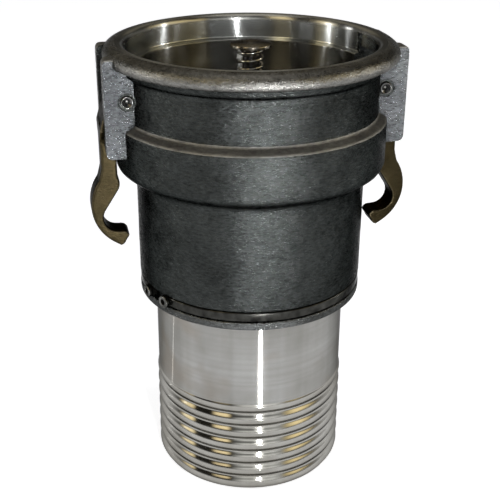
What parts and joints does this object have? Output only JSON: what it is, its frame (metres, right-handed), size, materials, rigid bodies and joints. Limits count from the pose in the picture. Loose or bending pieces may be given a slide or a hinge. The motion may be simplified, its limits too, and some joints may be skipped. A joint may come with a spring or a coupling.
{
  "type": "camlock coupling",
  "caption": "Cam-and-groove hose coupler with hinged cam arms, a spring-loaded poppet in its mouth and a ridged, swivelling hose shank.",
  "frame": {"origin": "centre of the hose shank's end face, on which the part stands", "axes": "+Z along the bore towards the mouth, X through both cam arms"},
  "size_m": [0.168, 0.148, 0.2366],
  "materials": {
    "cast_aluminium": "sand-cast, darkened",
    "turned_aluminium": "turned, bright",
    "bronze": "cast bronze, browned",
    "steel": "turned",
    "spring_steel": "drawn wire",
    "black_steel": "black oxide",
    "rubber": "moulded",
    "bearing": "moulded"
  },
  "bodies": {
    "coupler": {"coupler_body": "cast_aluminium", "pivot_pin_left": "steel", "pivot_pin_right": "steel", "mouth_gasket": "rubber", "guide_spider": "turned_aluminium", "spider_screw_1": "steel", "spider_screw_2": "steel", "spider_screw_3": "steel", "stem_bush": "bearing", "spring_seat": "steel", "poppet_spring": "spring_steel", "retaining_ring": "black_steel"},
    "poppet": {"poppet_button": "steel", "poppet_stem": "steel", "valve_disc": "turned_aluminium", "disc_seal": "rubber", "seal_retainer": "steel", "lock_washer": "steel", "stem_nut": "steel"},
    "left_arm": {"cam_arm_left": "bronze"},
    "right_arm": {"cam_arm_right": "bronze"},
    "hose_tail": {"hose_shank": "turned_aluminium", "swivel_o_ring_upper": "rubber", "swivel_o_ring_lower": "rubber", "wear_ring": "bearing"}
  },
  "joints": [
    {"name": "left_arm_hinge", "type": "hinge", "parent": "coupler", "child": "left_arm", "pos_m": [-0.0648, 0, 0.21315], "axis": [0, 1, 0], "range_deg": [0, 105]},
    {"name": "right_arm_hinge", "type": "hinge", "parent": "coupler", "child": "right_arm", "pos_m": [0.0648, 0, 0.21315], "axis": [0, -1, 0], "range_deg": [0, 105]},
    {"name": "poppet_slide", "type": "slide", "parent": "coupler", "child": "poppet", "axis": [0, 0, -1], "range_m": [0, 0.016], "stiffness_N_per_m": 900, "springref_m": -0.03, "deforming": ["poppet_spring"]},
    {"name": "shank_swivel", "type": "hinge", "parent": "coupler", "child": "hose_tail", "pos_m": [0, 0, 0.1], "axis": [0, 0, 1], "continuous": true}
  ]
}
